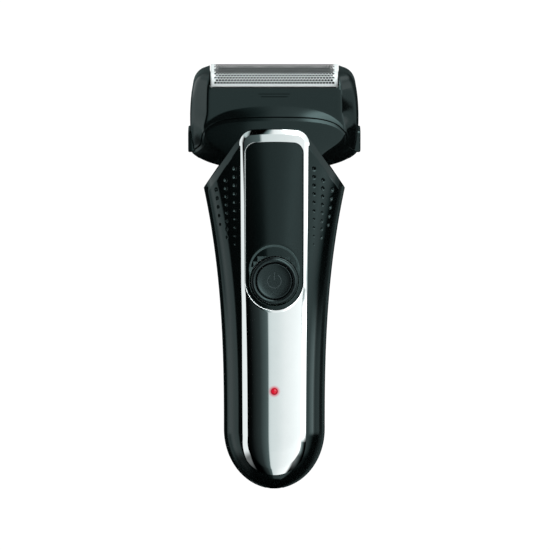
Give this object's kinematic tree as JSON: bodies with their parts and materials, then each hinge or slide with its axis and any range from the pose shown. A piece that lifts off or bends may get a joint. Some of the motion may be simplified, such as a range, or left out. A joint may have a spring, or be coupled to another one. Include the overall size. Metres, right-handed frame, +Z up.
{
  "type": "foil shaver",
  "caption": "Cordless foil shaver with a T-shaped head that leans forward, perforated steel foils in a lift-off frame, a tapered gloss black handle, a chrome fascia and a round power button",
  "frame": {"origin": "centre of the flat land at the handle's charging end, on the charging socket's axis; it is also the middle of the box's underside", "axes": "+Z up the handle from the charging end to the foils, front with the power button towards -Y, +X to the right seen from the front"},
  "size_m": [0.062, 0.033, 0.1523],
  "materials": {
    "handle_black": "high-gloss black moulded ABS",
    "head_black": "polished black moulded ABS",
    "chrome_trim": "bright chrome plating on a moulded plate",
    "inlay_black": "piano-black gloss",
    "button_black": "satin-gloss black",
    "lamp_lens": "red tinted clear acrylic, lit",
    "board_green": "green solder mask",
    "inner_plastic": "natural grey nylon",
    "soft_rubber": "black silicone",
    "battery_wrap": "blue heat-shrink sleeve",
    "plain_steel": "plain steel",
    "socket_brass": "plain brass",
    "lead_red": "red PVC",
    "cutter_steel": "ground steel",
    "foil_steel": "satin electroformed foil"
  },
  "bodies": {
    "handle": {"rear_shell": "handle_black", "front_shell": "handle_black", "chrome_fascia": "chrome_trim", "gloss_inlay": "inlay_black", "button_bezel": "button_black", "led_light_pipe": "lamp_lens", "charge_led": "lamp_lens", "circuit_board": "board_green", "tact_switch": "inner_plastic", "battery_cell": "battery_wrap", "battery_tab_positive": "plain_steel", "battery_tab_negative": "plain_steel", "inner_chassis": "inner_plastic", "charging_socket": "button_black", "socket_pin": "socket_brass", "motor_can": "plain_steel", "motor_end_bell": "inner_plastic", "motor_bush": "socket_brass", "motor_bracket": "plain_steel", "motor_lead_black": "soft_rubber", "motor_lead_red": "lead_red", "board_screw_1": "plain_steel", "board_screw_2": "plain_steel", "bracket_screw_1": "plain_steel", "bracket_screw_2": "plain_steel", "rear_screw_1": "plain_steel", "rear_screw_2": "plain_steel", "rear_screw_3": "plain_steel", "rear_screw_4": "plain_steel", "neck_seal": "soft_rubber", "head_base": "head_black", "flexure_left": "plain_steel", "flexure_right": "plain_steel", "release_spring_left": "plain_steel", "release_spring_right": "plain_steel"},
    "power_button": {"power_button": "button_black", "switch_plunger": "soft_rubber"},
    "motor_rotor": {"motor_shaft": "plain_steel", "eccentric_cam": "inner_plastic"},
    "oscillator": {"oscillator_bridge": "inner_plastic", "front_cutter_spring": "plain_steel", "middle_cutter_spring": "plain_steel", "rear_cutter_spring": "plain_steel"},
    "front_cutter": {"front_cutter": "cutter_steel"},
    "middle_cutter": {"middle_cutter": "cutter_steel"},
    "rear_cutter": {"rear_cutter": "cutter_steel"},
    "release_button_left": {"release_button_left": "head_black"},
    "release_button_right": {"release_button_right": "head_black"},
    "foil_frame": {"foil_frame": "head_black", "foil_cassette": "inner_plastic"},
    "front_foil": {"front_foil": "foil_steel"},
    "middle_foil": {"middle_foil": "foil_steel"},
    "rear_foil": {"rear_foil": "foil_steel"}
  },
  "joints": [
    {"name": "power_button_press", "type": "slide", "parent": "handle", "child": "power_button", "axis": [0, 1, 0], "range_m": [0, 0.0005], "stiffness_N_per_m": 2500, "springref_m": -0.0003},
    {"name": "motor_spin", "type": "hinge", "parent": "handle", "child": "motor_rotor", "pos_m": [0, 0.0024, 0.108], "axis": [0, 0, 1], "continuous": true},
    {"name": "cutter_swing", "type": "slide", "parent": "handle", "child": "oscillator", "axis": [1, 0, 0], "range_m": [-0.0011, 0.0011], "stiffness_N_per_m": 1500, "deforming": ["flexure_left", "flexure_right"]},
    {"name": "release_left_press", "type": "slide", "parent": "handle", "child": "release_button_left", "axis": [1, 0, 0], "range_m": [0, 0.0012], "stiffness_N_per_m": 1200, "springref_m": -0.0008, "deforming": ["release_spring_left"]},
    {"name": "release_right_press", "type": "slide", "parent": "handle", "child": "release_button_right", "axis": [-1, 0, 0], "range_m": [0, 0.0012], "stiffness_N_per_m": 1200, "springref_m": -0.0008, "deforming": ["release_spring_right"]},
    {"name": "foil_frame_lift", "type": "slide", "parent": "handle", "child": "foil_frame", "axis": [0, -0.1736, 0.9848], "range_m": [0, 0.022]},
    {"name": "front_foil_float", "type": "slide", "parent": "foil_frame", "child": "front_foil", "axis": [0, -0.1736, 0.9848], "range_m": [-0.0008, 0], "stiffness_N_per_m": 800, "springref_m": 0.0006},
    {"name": "middle_foil_float", "type": "slide", "parent": "foil_frame", "child": "middle_foil", "axis": [0, -0.1736, 0.9848], "range_m": [-0.0008, 0], "stiffness_N_per_m": 800, "springref_m": 0.0006},
    {"name": "rear_foil_float", "type": "slide", "parent": "foil_frame", "child": "rear_foil", "axis": [0, -0.1736, 0.9848], "range_m": [-0.0008, 0], "stiffness_N_per_m": 800, "springref_m": 0.0006},
    {"name": "front_cutter_float", "type": "slide", "parent": "oscillator", "child": "front_cutter", "axis": [0, -0.1736, 0.9848], "range_m": [-0.0008, 0], "stiffness_N_per_m": 800, "springref_m": 0.0006, "deforming": ["front_cutter_spring"]},
    {"name": "middle_cutter_float", "type": "slide", "parent": "oscillator", "child": "middle_cutter", "axis": [0, -0.1736, 0.9848], "range_m": [-0.0008, 0], "stiffness_N_per_m": 800, "springref_m": 0.0006, "deforming": ["middle_cutter_spring"]},
    {"name": "rear_cutter_float", "type": "slide", "parent": "oscillator", "child": "rear_cutter", "axis": [0, -0.1736, 0.9848], "range_m": [-0.0008, 0], "stiffness_N_per_m": 800, "springref_m": 0.0006, "deforming": ["rear_cutter_spring"]}
  ],
  "couplings": [
    {"joint": "front_cutter_float", "follows": "front_foil_float", "ratio": 1},
    {"joint": "middle_cutter_float", "follows": "middle_foil_float", "ratio": 1},
    {"joint": "rear_cutter_float", "follows": "rear_foil_float", "ratio": 1}
  ]
}
